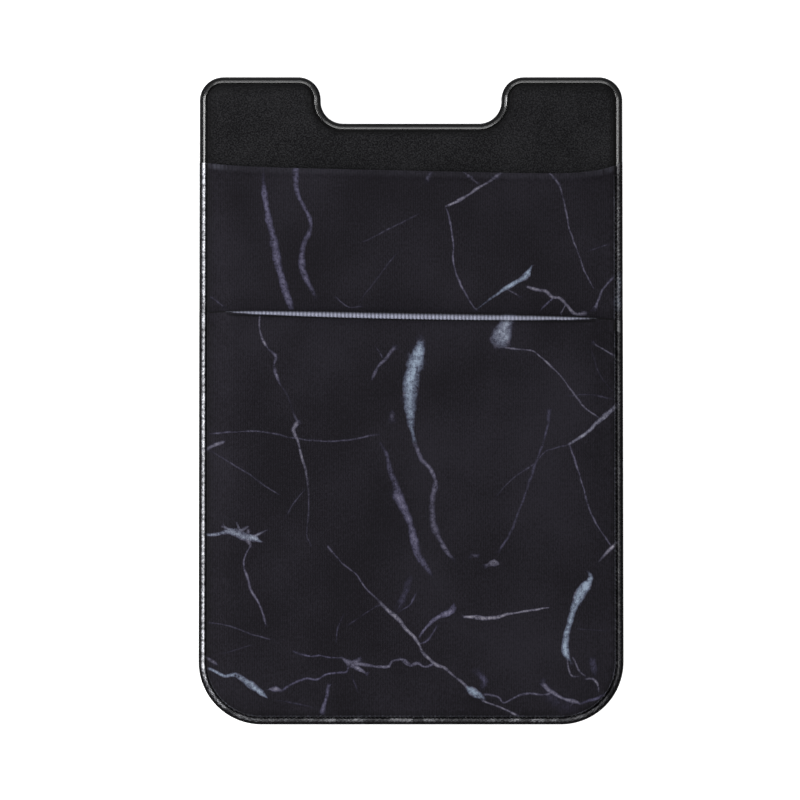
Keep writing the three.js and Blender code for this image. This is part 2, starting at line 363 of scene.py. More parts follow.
            (18.4, -30.6), (20.0, -30.3),
        ),
    ),
    Vein(
        0.4,
        0.2,
        (0.16, 0.18, 0.3, 0.18, 0.16),
        (
            (-1.6, -37.7), (-0.1, -38.8), (1.1, -38.4), (1.7, -38.8), (3.5, -38.5),
        ),
    ),
    Vein(0.26, 0.2, 0.15, ((-29.5, -32.5), (-26.5, -33.0), (-24.3, -33.8), (-22.7, -34.4), (-20.5, -34.9))),
    Vein(0.16, 0.2, 0.14, ((-27.2, -37.0), (-23.3, -35.7))),
    Vein(0.5, 0.4, 0.22, ((-30.1, -37.6), (-28.7, -38.3))),
    Vein(
        0.8,
        0.85,
        (0.16, 0.2, 0.24, 0.26, 0.36, 0.46, 0.34, 0.14),
        (
            (-29.9, -39.1), (-28.6, -39.6), (-27.2, -40.3), (-25.5, -40.1), (-24.3, -40.9), (-22.9, -41.8),
            (-21.8, -42.7), (-21.0, -43.3),
        ),
    ),
    Vein(0.55, 0.2, (0.16, 0.42, 0.16), ((-20.7, -42.2), (-19.6, -42.2), (-18.8, -42.4))),
    Vein(
        0.42,
        0.1,
        0.19,
        (
            (-18.8, -42.4), (-17.8, -41.8), (-16.6, -41.0), (-15.5, -40.6), (-13.7, -40.8), (-12.1, -39.9),
            (-10.6, -39.8), (-9.4, -39.6), (-9.1, -38.8), (-8.8, -38.5),
        ),
    ),
    Vein(0.6, 0.2, (0.18, 0.48, 0.18), ((-10.1, -37.6), (-8.8, -38.5), (-6.7, -39.8))),
    Vein(0.45, 0.2, 0.3, ((-7.6, -37.9), (-8.8, -38.5))),
    Vein(
        0.62,
        0.2,
        (0.24, 0.24, 0.22, 0.18, 0.15, 0.15, 0.16, 0.2),
        (
            (-8.8, -38.5), (-7.2, -38.5), (-4.7, -38.9), (-3.1, -38.8), (-2.8, -38.2), (-1.8, -37.9),
            (-1.1, -37.9), (-0.2, -38.7),
        ),
    ),
    Vein(
        0.32,
        0.1,
        0.17,
        (
            (-10.1, -37.6), (-12.1, -37.5), (-13.3, -37.3), (-14.8, -37.4), (-16.0, -37.1), (-17.1, -36.7),
        ),
    ),
    Vein(
        0.45,
        0.1,
        (0.22, 0.24, 0.26, 0.36),
        (
            (-12.0, -41.6), (-12.3, -43.2), (-12.7, -44.7), (-12.9, -45.6),
        ),
    ),
    Vein(0.18, 0.1, 0.16, ((-8.5, -40.7), (-7.8, -42.3))),
    Vein(0.16, 0.1, 0.15, ((-19.6, -43.8), (-16.4, -44.4), (-14.4, -44.9))),
    Vein(0.22, 0.0, 0.48, ((9.7, -39.8), (10.7, -40.9), (10.3, -42.0))),
)


def length(name, description, millimetres):
    """A length that a user can change."""
    return FloatProperty(
        name=name,
        description=description,
        default=millimetres * MM,
        min=0.0,
        precision=5,
        unit="LENGTH",
        subtype="DISTANCE",
    )


def colour(name, description, code):
    """A colour that a user can change, from its display code."""
    channels = [int(code[i : i + 2], 16) / 255 for i in (0, 2, 4)]
    linear = [c / 12.92 if c <= 0.04045 else ((c + 0.055) / 1.055) ** 2.4 for c in channels]
    return FloatVectorProperty(
        name=name, description=description, default=linear, min=0.0, max=1.0, size=3, subtype="COLOR"
    )


class HolderSizes(bpy.types.PropertyGroup):
    bottom_corner: length("Bottom corner", "Radius of the two lower corners", 9.2)
    top_corner: length("Top corner", "Radius of the two upper corners", 3.5)
    notch_width: length("Notch width", "Width of the thumb notch at its neck", 26.6)
    notch_depth: length("Notch depth", "Depth of the thumb notch below the upper edge", 6.85)
    notch_shoulder: length("Notch shoulder", "Radius where the notch meets the upper edge", 3.3)
    notch_root: length("Notch root", "Radius where the notch's wall meets its floor", 3.3)
    land_width: length("Cut land", "Flat strip between the die-cut edge and the bead", 0.55)
    bead_width: length("Bead width", "Width of the pressed bead round the edge", 0.46)
    bead_height: length("Bead height", "Height of the bead's crest above the panel's back", 0.76)
    groove_width: length("Groove width", "Width of the pressed groove inside the bead", 0.17)
    groove_floor: length("Groove floor", "Thickness left under the groove", 0.5)
    shoulder_width: length("Shoulder width", "Round shoulder from the groove up to the soft field", 0.22)
    panel_thickness: length("Panel thickness", "Thickness of the panel's soft field", 0.9)
    knit_thickness: length("Knit thickness", "Thickness of the loose knit", 0.45)
    welded_knit: length("Welded knit", "Thickness of the knit where it is welded", 0.14)
    weld_line: length("Weld line", "Melted line between two welded layers", 0.02)
    card_gap: length("Card gap", "What an empty pocket stands off from the layer below", 0.3)
    card_gap_run: length("Card gap run-in", "Distance over which a pocket lifts off", 4)
    rear_sag: length("Rear sag", "Sag of the rear pocket's mouth", 1.36)
    rear_lean: length("Rear lean", "How much deeper the sag is to the right", 0.7)
    hem_depth: length("Hem depth", "Depth of the rear pocket's turned-under hem", 1.3)
    hem_step: length("Hem step", "Slope where the hem's under layer ends", 0.3)
    hem_bulge: length("Hem bulge", "What the hem stands proud of the knit", 0.14)
    front_drop: length("Front drop", "How far the front pocket's mouth lies below the rear's", 22.74)
    front_fall: length("Front fall", "Fall of the front pocket's mouth to the right", 0.57)
    front_bow: length("Front bow", "Upward bow of the front pocket's mouth", 0.62)
    lip_roll: length("Lip roll", "Thickness of the front pocket's rolled lip at its middle", 1.1)
    lip_span: length("Lip half span", "Distance from the middle to the lip's ends", 27.1)
    rib_pitch: length("Rib pitch", "Distance between the ribs of yarn on the lip", 0.55)
    wale_pitch: length("Wale pitch", "Distance between the knit's columns of loops", 0.34)
    course_pitch: length("Course pitch", "Distance between the knit's rows of loops", 0.27)
    edge_step: length("Edge step", "Spacing of the vertices along the rim", 0.2)
    field_step: length("Field step", "Spacing of the vertices over the soft field", 0.9)


class HolderColours(bpy.types.PropertyGroup):
    suede: colour("Suede", "Microfibre face of the panel", "0b0b0d")
    suede_light: colour("Suede nap", "Paler tips of the microfibre nap", "303032")
    rim: colour("Rim", "Pressed glossy rim", "0d0d0e")
    ink: colour("Ink", "Black ground of the print", "131116")
    ink_light: colour("Ink cloud", "Paler clouds in the black ground", "232128")
    vein_halo: colour("Vein halo", "Violet haze along the veins", "2c2a3e")
    vein_violet: colour("Soft vein", "Colour of the broad, soft veins", "716e87")
    vein_grey: colour("Fine vein", "Colour of the fine veins", "8e8b96")
    vein_blue: colour("Bright vein", "Colour of the bright veins", "8a97a9")
    yarn: colour("Yarn", "Unprinted yarn that shows on the lip", "b0b3c8")
    melted: colour("Melted yarn", "Unprinted yarn that shows in the weld", "dadbe2")
    adhesive: colour("Adhesive", "Milky adhesive sheet", "dcdcd2")
    liner: colour("Liner", "Coated release paper", "f0eee4")


class HolderStage(bpy.types.PropertyGroup):
    lens: FloatProperty(name="Lens", description="Focal length in millimetres", default=100.0, min=1.0)
    view_width: length("View width", "Width that the camera frames at the holder's face", 117.3)
    view_tilt: FloatProperty(
        name="View tilt",
        description="How far the camera stands below straight above",
        default=math.radians(1.1),
        subtype="ANGLE",
        unit="ROTATION",
    )
    shift_right: length("Holder's offset", "How far the holder lies right of the frame's middle", 1.62)
    shift_up: length("Holder's rise", "How far the holder lies above the frame's middle", 0.04)
    key_power: FloatProperty(name="Key power", description="Power of the left lamp", default=2.0, min=0.0)
    fill_power: FloatProperty(name="Fill power", description="Power of the right lamp", default=0.6, min=0.0)
    top_power: FloatProperty(name="Top power", description="Power of the upper lamp", default=0.9, min=0.0)
    low_power: FloatProperty(name="Low power", description="Power of the lower lamp", default=0.6, min=0.0)
    seed: IntProperty(name="Seed", description="Seed of the wobble in the print's veins", default=7)


def smooth(low, high, value):
    """Smooth step from 0 at low to 1 at high."""
    t = np.clip((value - low) / (high - low), 0.0, 1.0)
    return t * t * (3 - 2 * t)


def blend(a, b, t):
    return a + (b - a) * t


# Where the bead's crest lies across it, from its outer edge at 0 to its inner edge at 1
BEAD_CREST = 0.62

# How the weld breaks up: beads of yarn with short breaks on the left, ticks on the right and below
BEAD_LENGTHS = (0.7 * MM, 2.2 * MM)
BEAD_BREAK = 0.3 * MM
BEAD_SEED = 3
TICK_PITCH = 0.6 * MM

# How much of the yarn the weld lays bare, against the left side's 1: on the right below and above,
# along the bottom, and by the ticks that reach into the groove
RIGHT_BARE = (0.3, 0.5)
BOTTOM_BARE = 0.95
GROOVE_BARE = 0.34


class Section:
    """Heights above the panel's back at a distance in from the edge, for the panel and each pocket."""

    def __init__(self, sizes):
        self.sizes = sizes
        self.bead_start = sizes.land_width
        self.bead_end = self.bead_start + sizes.bead_width
        self.groove_end = self.bead_end + sizes.groove_width
        self.field = self.groove_end + sizes.shoulder_width
        self.loose = self.field + sizes.card_gap_run

    def panel(self, inset):
        sizes = self.sizes
        across = np.clip((inset - self.bead_start) / sizes.bead_width, 0.0, 1.0)
        outer = np.sin(np.pi / 2 * np.minimum(across / BEAD_CREST, 1.0))
        inner = (1 + np.cos(np.pi * np.maximum((across - BEAD_CREST) / (1 - BEAD_CREST), 0.0))) / 2
        bead = outer * inner
        low = blend(sizes.groove_floor, sizes.bead_height, bead)
        return blend(low, sizes.panel_thickness, self.fullness(inset))

    def fullness(self, inset):
        """Quarter round from 0 at the groove to 1 at the soft field."""
        left = 1 - np.clip((inset - self.groove_end) / self.sizes.shoulder_width, 0.0, 1.0)
        return np.sqrt(1 - left**2)

    def knit(self, inset):
        """Thickness of the knit, from pressed in the weld to loose in the field."""
        return blend(self.sizes.welded_knit, self.sizes.knit_thickness, self.fullness(inset))

    def weld_yarn(self, inset):
        """How much bare yarn shows in the weld: on the bead's outer slope and crest."""
        shown = smooth(0.6 * self.bead_start, self.bead_start, inset)
        return shown * (1 - smooth(self.bead_end - 0.15 * MM, self.bead_end, inset))

    def rim_crease_shade(self, inset):
        """How much painted shade a place gets: in the pressed groove and on the shoulder inside it, and on
        the land by the cut edge. The same share turns the gloss matt.
        """
        groove = smooth(self.bead_end - 0.05 * MM, self.bead_end + 0.08 * MM, inset)
        groove *= 1 - smooth(self.groove_end, self.field + 0.35 * MM, inset)
        return np.maximum(groove, 1 - smooth(0.5 * self.bead_start, 0.9 * self.bead_start, inset))

    def pressed(self, inset):
        """Whether a place lies in the pressed part of the rim, from the cut edge to the groove."""
        return inset < 0.99 * self.groove_end

    def slack(self, inset):
        return self.sizes.weld_line + self.sizes.card_gap * smooth(self.field, self.loose, inset)

    def rear_under(self, inset):
        return self.panel(inset) + self.slack(inset)

    def rear_over(self, inset):
        return self.rear_under(inset) + self.knit(inset)

    def front_under(self, inset):
        return self.rear_over(inset) + self.slack(inset)

    def front_over(self, inset):
        return self.front_under(inset) + self.knit(inset)

    def rim_insets(self):
        """Where the rim is sampled, from the cut edge to the field."""
        land = self.bead_start * np.array([0.0, 0.5, 0.8, 0.95])
        bead = np.linspace(self.bead_start, self.bead_end, 12)
        turn = np.linspace(0, np.pi / 2, 5)
        shoulder = self.groove_end + self.sizes.shoulder_width * (1 - np.cos(turn))
        return np.concatenate([land, bead, shoulder])


def quarter_round(corner, start, end, radius, steps=20):
    """Points of a round corner between a run along start and a run along end."""
    turn = np.linspace(0.0, np.pi / 2, steps + 1)[:, None]
    return corner + radius * ((np.sin(turn) - 1) * np.array(start) + (1 - np.cos(turn)) * np.array(end))


def between(first, last, count):
    """Evenly spaced points between two others, without either."""
    share = np.linspace(0.0, 1.0, count + 2)[1:-1, None]
    return blend(np.array(first), np.array(last), share)


RIGHT, UP, LEFT, DOWN = (1.0, 0.0), (0.0, 1.0), (-1.0, 0.0), (0.0, -1.0)

# Lengths that settle how many vertices each straight run of the outline gets, from the bottom round
# by the right side, the notch and the left side
STRAIGHT_RUNS = (
    2 * HALF_WIDTH, 2 * HALF_HEIGHT, 15 * MM, 1 * MM, 21 * MM, 1 * MM, 15 * MM, 2 * HALF_HEIGHT
)


def lower_corners(sizes, inset):
    """The two lower corners' arcs, left and right, anticlockwise."""
    side, bottom = HALF_WIDTH - inset, inset - HALF_HEIGHT
    radius = sizes.bottom_corner - inset
    return [
        quarter_round((-side, bottom), DOWN, RIGHT, radius, 40),
        quarter_round((side, bottom), RIGHT, UP, radius, 40),
    ]


def closed_outline(sizes, inset):
    """The panel's outline with its thumb notch, anticlockwise, with as many points at every inset."""
    side, top = HALF_WIDTH - inset, HALF_HEIGHT - inset
    wall, floor = sizes.notch_width / 2 + inset, HALF_HEIGHT - sizes.notch_depth - inset
    corner, shoulder = sizes.top_corner - inset, sizes.notch_shoulder - inset
    root = sizes.notch_root + inset
    arcs = lower_corners(sizes, inset) + [
        quarter_round((side, top), UP, LEFT, corner),
        quarter_round((wall, top), LEFT, DOWN, shoulder),
        quarter_round((wall, floor), DOWN, LEFT, root),
        quarter_round((-wall, floor), LEFT, UP, root),
        quarter_round((-wall, top), UP, LEFT, shoulder),
        quarter_round((-side, top), LEFT, DOWN, corner),
    ]
    points = []
    for arc, following, run in zip(arcs, arcs[1:] + arcs[:1], STRAIGHT_RUNS):
        points += [arc, between(arc[-1], following[0], int(run / sizes.edge_step))]
    return np.concatenate(points)


def inset_at(sizes, points):
    """Distance in from the sides and the bottom, round the lower corners."""
    across, up = HALF_WIDTH - np.abs(points[:, 0]), points[:, 1] + HALF_HEIGHT
    radius = sizes.bottom_corner
    corner = radius - np.hypot(np.maximum(radius - across, 0.0), np.maximum(radius - up, 0.0))
    return np.where((across < radius) & (up < radius), corner, np.minimum(across, up))


def side_share(points):
    """How much the weld lays the yarn bare round the edge: most on the left, less on the right, where
    the upper part shows more than the lower."""
    across = points[:, 0] / HALF_WIDTH
    right = blend(*RIGHT_BARE, smooth(8 * MM, 16 * MM, points[:, 1]))
    low = smooth(-0.9 * HALF_HEIGHT, -0.97 * HALF_HEIGHT, points[:, 1])
    return blend(blend(1.0, right, smooth(-0.9, 0.9, across)), BOTTOM_BARE, low)


def smooth_noise(points, feature, seed=0.0):
    """Noise from -1 to 1 at each point, with features of a given size."""
    return np.array([noise.noise(Vector((x / feature, y / feature, seed))) for x, y in points[:, :2]])


class Skin:
    """A surface gathered row by row. Each vertex is marked with the bare yarn that it shows and with
    its crease mark: the painted shade that it gets in creases, grooves and gaps, which on the glossy
    finishes also turns it matt."""

    def __init__(self):
        self.points = []
        self.yarn = []
        self.crease = []
        self.faces = []
        self.slots = []

    def row(self, points, yarn=0.0, crease=0.0):
        first = len(self.points)
        self.points += [tuple(p) for p in points]
        self.yarn += list(np.broadcast_to(yarn, len(points)))
        self.crease += list(np.broadcast_to(crease, len(points)))
        return list(range(first, first + len(points)))

    def face(self, corners, slot):
        corners = [c for i, c in enumerate(corners) if c != corners[i - 1]]
        if len(corners) > 2:
            self.faces.append(corners)
            self.slots.append(slot)

    def band(self, first, second, slot=0):
        """Joins two rows of the same length, the second to the left of the first."""
        for i in range(len(first) - 1):
            self.face([first[i], first[i + 1], second[i + 1], second[i]], slot)

    def fill(self, loop, inner, lines, height, slot=0, turned=False):
        """Fills a loop of vertices with triangles through the inner points and along the lines."""
        edge = np.array([self.points[i][:2] for i in loop])
        flat = [edge]
        links = [(i, (i + 1) % len(loop)) for i in range(len(loop))]
        count = len(loop)
        if len(inner):
            flat.append(inner)
            count += len(inner)
        for line in lines:
            flat.append(line)
            links += [(count + i, count + i + 1) for i in range(len(line) - 1)]
            count += len(line)
        coords = [Vector(p) for p in np.concatenate(flat) / MM]
        verts, _, faces, origins, _, _ = delaunay_2d_cdt(coords, links, [], 0, 1e-5, True)
        spots = np.array([tuple(v) for v in verts]) * MM
        heights = height(spots)
        index = []
        for spot, z, origin in zip(spots, heights, origins):
            on_edge = [o for o in origin if o < len(loop)]
            index.append(loop[on_edge[0]] if on_edge else self.row([(*spot, z)])[0])
        corners = np.array(faces)
        middles = spots[corners].mean(axis=1)
        a, b, c = (spots[corners[:, i]] for i in range(3))
        areas = (b[:, 0] - a[:, 0]) * (c[:, 1] - a[:, 1]) - (c[:, 0] - a[:, 0]) * (b[:, 1] - a[:, 1])
        for face, inside, area in zip(faces, within(edge, middles), areas):
            if inside:
                face = list(face) if (area > 0) != turned else list(face)[::-1]
                self.face([index[i] for i in face], slot)


def low_share(points):
    """How near the bottom each point lies: from 0 above the lower corners to 1 well inside them."""
    return smooth(-0.8 * HALF_HEIGHT, -0.93 * HALF_HEIGHT, points[:, 1])


def tick_share(points):
    """How far the weld breaks into ticks: fully on the right and along the bottom."""
    return np.maximum(smooth(-0.85 * HALF_WIDTH, 0.0, points[:, 0]), low_share(points))


def beads(points):
    """Splits the bare yarn of the weld into long beads with short dark breaks on the left, and into
    fine ticks across the edge on the right and along the bottom, where paler stretches among the ticks
    are painted glints of the bead. Gives the yarn that shows at each point, painted glints included,
    and the ticks by themselves."""
    along = np.concatenate([[0.0], np.cumsum(np.hypot(*np.diff(points, axis=0).T))])
    chance = np.random.default_rng(BEAD_SEED)
    breaks = np.cumsum(chance.uniform(*BEAD_LENGTHS, size=int(along[-1] / BEAD_LENGTHS[0])))
    gap = np.abs(along[:, None] - breaks[None, :]).min(axis=1)
    depth = np.interp(along, breaks, chance.uniform(0.5, 1.0, size=len(breaks)))
    long_beads = 1 - depth * (1 - smooth(0.0, BEAD_BREAK, gap))
    pitch = TICK_PITCH * (1 + 0.25 * smooth_noise(points, 3 * MM, 9.0))
    wave = 0.5 + 0.5 * np.cos(2 * math.pi * np.cumsum(np.gradient(along) / pitch))
    ticks = smooth(0.3, 0.7, wave) * chance.uniform(0.45, 1.0, size=len(points))
    # Painted glints: stretches where the bottom's yarn is made paler, as the bead glints there
    painted_glint_dashes = smooth(-0.15, 0.3, smooth_noise(points, 1.6 * MM, 6.0))
    ticked = tick_share(points)
    beaded = blend(long_beads, 1.5 * ticks, ticked)
    return blend(beaded, (0.5 + 1.3 * painted_glint_dashes) * ticks, low_share(points)), ticks * ticked


def within(loop, points):
    """Which points lie inside a closed loop, by counting the edges to their right."""
    inside = np.zeros(len(points), bool)
    x, y = points[:, 0], points[:, 1]
    for (ax, ay), (bx, by) in zip(loop, np.roll(loop, -1, axis=0)):
        crosses = (ay > y) != (by > y)
        if ay != by:
            inside ^= crosses & (x < ax + (y - ay) * (bx - ax) / (by - ay))
    return inside


def scattered(sizes, keep):
    """Staggered points over the whole holder, where keep says so."""
    step = sizes.field_step
    xs = np.arange(-HALF_WIDTH, HALF_WIDTH, step)
    ys = np.arange(-HALF_HEIGHT, HALF_HEIGHT, step * 0.87)
    grid = np.array([(x + step / 2 * (i % 2), y) for i, y in enumerate(ys) for x in xs])
    return grid[keep(grid)]


def add_mark(mesh, name, values):
    mesh.attributes.new(name, "FLOAT", "POINT").data.foreach_set("value", np.array(values, np.float32))


def mesh_piece(name, skin, materials):
    """An object of a skin's faces, smooth, with its marks and material slots."""
    mesh = bpy.data.meshes.new(name)
    mesh.from_pydata(skin.points, [], skin.faces)
    add_mark(mesh, "yarn", skin.yarn)
    # The crease mark: painted shade, and matt gloss on the glossy finishes
    add_mark(mesh, "crease", skin.crease)
    for material in materials:
        mesh.materials.append(material)
    mesh.polygons.foreach_set("material_index", skin.slots)
    mesh.polygons.foreach_set("use_smooth", [True] * len(mesh.polygons))
    mesh.update()
    piece = bpy.data.objects.new(name, mesh)
    bpy.context.scene.collection.objects.link(piece)
    return piece


# The print's veins


def vein_path(vein, chance, step=0.45 * MM):
    """A vein's line as closely spaced points, each with its half width and strength: a smooth curve
    with a wobble, whose ends fade a little."""
    knots = np.array(vein.points) * MM
    widths = np.broadcast_to(np.atleast_1d(vein.width), len(knots)) * MM
    strengths = np.broadcast_to(np.atleast_1d(vein.strength), len(knots))
    along = np.concatenate([[0.0], np.cumsum(np.hypot(*np.diff(knots, axis=0).T))])
    slopes = np.gradient(knots, along, axis=0)
    count = max(3, int(along[-1] / step) + 1)
    places = np.linspace(0.0, along[-1], count)
    span = np.clip(np.searchsorted(along, places) - 1, 0, len(knots) - 2)
    run = (along[span + 1] - along[span])[:, None]
    t = (places - along[span])[:, None] / run
    curve = (
        (2 * t**3 - 3 * t**2 + 1) * knots[span]
        + (t**3 - 2 * t**2 + t) * run * slopes[span]
        + (3 * t**2 - 2 * t**3) * knots[span + 1]
        + (t**3 - t**2) * run * slopes[span + 1]
    )
    way = np.gradient(curve, axis=0)
    across = np.stack([-way[:, 1], way[:, 0]], axis=1) / np.hypot(*way.T)[:, None]
    sway = np.convolve(chance.normal(size=count + 2), [0.25, 0.5, 0.25], "valid")
    curve = curve + across * (0.05 * MM * sway)[:, None]
    ragged = 1 + 0.22 * np.convolve(chance.normal(size=count + 2), [0.25, 0.5, 0.25], "valid")
    width = VEIN_HALO * np.interp(places, along, widths) * ragged.clip(0.55, 1.45)
    ends = blend(0.6, 1.0, smooth(0.0, 0.9 * MM, np.minimum(places, along[-1] - places)))
    return curve, across, width, ends * np.interp(places, along, strengths)


# Half widths past which a vein is broad, and past which it gets a second pair of flanks. Its
# shoulder lies at this share of the half width, and its haze reaches this many half widths out
WIDE_VEIN = 0.3 * MM
FINE_VEIN = 0.2 * MM
VEIN_SHOULDER = 0.5
VEIN_HALO = 1.35


def vein_lines(paths):
    """Lines down the middle and along the flanks of each vein, for the mesh to follow."""
    lines = []
    for curve, across, width, _ in paths:
        lines.append(curve)
        flanks = [1.0, -1.0]
        if width.max() > FINE_VEIN:
            flanks += [VEIN_SHOULDER, -VEIN_SHOULDER]
        lines += [curve + across * (flank * width)[:, None] for flank in flanks]
    return lines


def clipped(lines, keep):
    """The stretches of some lines on which keep holds."""
    pieces = []
    for line in lines:
        kept = keep(line)
        breaks = np.flatnonzero(np.diff(kept.astype(int))) + 1
        for stretch, inside in zip(np.split(line, breaks), np.split(kept, breaks)):
            if inside[0] and len(stretch) > 1:
                pieces.append(stretch)
    return pieces


def print_marks(veins, paths, points):
    """How much vein each point shows and how cool it is."""
    shown, cool, holes = (np.zeros(len(points)) for _ in range(3))
    patchy = 1 + 0.7 * smooth_noise(points, 2.2 * MM, 9.0) + 0.35 * smooth_noise(points, 0.8 * MM, 4.0)
    for vein, (curve, _, width, strength) in zip(veins, paths):
        reach = width.max()
        near = np.flatnonzero(
            np.all((points > curve.min(axis=0) - reach) & (points < curve.max(axis=0) + reach), axis=1)
        )
        if not len(near):
            continue
        closest = np.full(len(near), 9.0)
        share, level = np.ones(len(near)), np.zeros(len(near))
        for i in range(len(curve) - 1):
            run = curve[i + 1] - curve[i]
            t = np.clip((points[near] - curve[i]) @ run / (run @ run), 0.0, 1.0)
            wide = blend(width[i], width[i + 1], t)
            distance = np.hypot(*(points[near] - curve[i] - t[:, None] * run).T) / wide
            better = distance < closest
            closest[better] = distance[better]
            share[better] = (wide / reach)[better]
            level[better] = blend(strength[i], strength[i + 1], t)[better]
        flank = 0.55 if reach > WIDE_VEIN else 0.35
        depth = np.interp(closest, [0.0, VEIN_SHOULDER, 1.0], [1.0, flank, 0.0])
        if strength.min() < 0:
            holes[near] = np.maximum(holes[near], -level * depth)
            continue
        value = (level * share**0.3) ** 1.35 * depth
        more = value > shown[near]
        shown[near[more]] = value[more]
        cool[near[more]] = vein.coolness
    return shown * patchy.clip(0.3, 1.5) * (1 - holes), cool


# Materials


class Finish:
    """A material with one shader, and short ways to add nodes to it."""

    def __init__(self, name, roughness, **shader):
        self.material = bpy.data.materials.new(name)
        self.material.use_nodes = True
        self.tree = self.material.node_tree
        self.shader = self.tree.nodes["Principled BSDF"]
        self.shader.inputs["Roughness"].default_value = roughness
        for socket, value in shader.items():
            self.shader.inputs[socket].default_value = value
        self.place = self.tree.nodes.new("ShaderNodeTexCoord").outputs["Object"]

    def feed(self, socket, value):
        if isinstance(value, bpy.types.NodeSocket):
            self.tree.links.new(value, socket)
        elif socket.type == "RGBA":
            socket.default_value = (*value, 1.0)
        else:
            socket.default_value = value

    def math(self, operation, *values, clamp=False):
        node = self.tree.nodes.new("ShaderNodeMath")
        node.operation = operation
        node.use_clamp = clamp
        for socket, value in zip(node.inputs, values):
            self.feed(socket, value)
        return node.outputs[0]

    def mix(self, share, first, second):
        node = self.tree.nodes.new("ShaderNodeMix")
        node.data_type = "RGBA"
        self.feed(node.inputs["Factor"], share)
        self.feed(node.inputs["A"], first)
        self.feed(node.inputs["B"], second)
        return node.outputs["Result"]

    def gloss(self, roughness, coat):
        """Roughness and coat that turn matt where the surface lies in a crease."""
        crease = self.mark("crease")
        raised = self.math("SUBTRACT", 1.0, self.math("MULTIPLY", crease, 0.9))
        matt = self.math("MULTIPLY", crease, 0.6)
        self.feed(self.shader.inputs["Roughness"], self.math("ADD", roughness, matt, clamp=True))
        self.feed(self.shader.inputs["Coat Weight"], self.math("MULTIPLY", raised, coat))

    def noise(self, feature, detail=2.0, rough=0.5, stretch=(1.0, 1.0, 1.0)):
        """Noise with features of a given size, which may be stretched along an axis."""
        mapping = self.tree.nodes.new("ShaderNodeMapping")
        mapping.inputs["Scale"].default_value = stretch
        self.feed(mapping.inputs["Vector"], self.place)
        node = self.tree.nodes.new("ShaderNodeTexNoise")
        node.inputs["Scale"].default_value = 1 / feature
        node.inputs["Detail"].default_value = detail
        node.inputs["Roughness"].default_value = rough
        self.feed(node.inputs["Vector"], mapping.outputs[0])
        return node.outputs["Fac"]

    def ridges(self, axis, pitch, ragged):
        """Even ridges across an axis, a pitch apart, with ragged edges."""
        node = self.tree.nodes.new("ShaderNodeTexWave")
        node.bands_direction = axis
        node.inputs["Scale"].default_value = math.pi / 10 / pitch
        node.inputs["Distortion"].default_value = ragged
        node.inputs["Detail Scale"].default_value = 3.0
        self.feed(node.inputs["Vector"], self.place)
        return node.outputs["Fac"]

    def spread(self, value, low, high, bottom=0.0, top=1.0):
        """Stretches a value's range from low and high to bottom and top."""
        node = self.tree.nodes.new("ShaderNodeMapRange")
        for name, number in (("From Min", low), ("From Max", high), ("To Min", bottom), ("To Max", top)):
            node.inputs[name].default_value = number
        self.feed(node.inputs["Value"], value)
        return node.outputs[0]

    def mark(self, name):
        """A value that the mesh's vertices carry."""
        node = self.tree.nodes.new("ShaderNodeAttribute")
        node.attribute_name = name
        return node.outputs["Fac"]

    def bump(self, height, depth, strength=1.0):
        node = self.tree.nodes.new("ShaderNodeBump")
        node.inputs["Distance"].default_value = depth
        node.inputs["Strength"].default_value = strength
        self.feed(node.inputs["Height"], height)
        self.feed(self.shader.inputs["Normal"], node.outputs[0])


def suede_finish(colours):
    """Short black nap: a fine speckle of pale tips, and soft patches where it was brushed."""
    finish = Finish("suede_nap", 0.85, **{"Specular IOR Level": 0.08})
    tips = finish.spread(finish.noise(0.21 * MM, 2.0, 0.8), 0.42, 0.74)
    brushed = finish.spread(finish.noise(7 * MM, 2.0), 0.3, 0.7, -0.1, 0.1)
    share = finish.math("ADD", tips, brushed, clamp=True)
    nap = finish.mix(share, colours.suede, colours.suede_light)
    # Painted shade where the crease mark says: on the shoulder inside the rim's groove
    finish.feed(finish.shader.inputs["Base Color"], painted_crease_shade(finish, nap))
    finish.bump(finish.noise(0.2 * MM, 2.0, 0.7), 0.05 * MM, 0.7)
    return finish.material


def rim_finish(colours):
    """Smooth pressed rim, glossy where the heat melted the nap."""
    coat = {"Specular IOR Level": 0.12, "Coat Weight": 1.0, "Coat Roughness": 0.2, "Coat IOR": 2.0}
    finish = Finish("pressed_rim", 0.36, **coat)
    rub = finish.noise(0.8 * MM, 3.0)
    finish.feed(finish.shader.inputs["Base Color"], finish.mix(rub, colours.rim, colours.suede))
    finish.gloss(finish.spread(rub, 0.3, 0.7, 0.28, 0.42), 1.0)
    finish.bump(finish.noise(0.5 * MM, 2.0), 0.01 * MM, 0.5)
    return finish.material


def painted_crease_shade(finish, base, depth=0.75):
    """Painted shade: darkens a colour by the crease mark, in creases, grooves and gaps."""
    return finish.mix(finish.math("MULTIPLY", finish.mark("crease"), depth), base, (0.002, 0.002, 0.002))


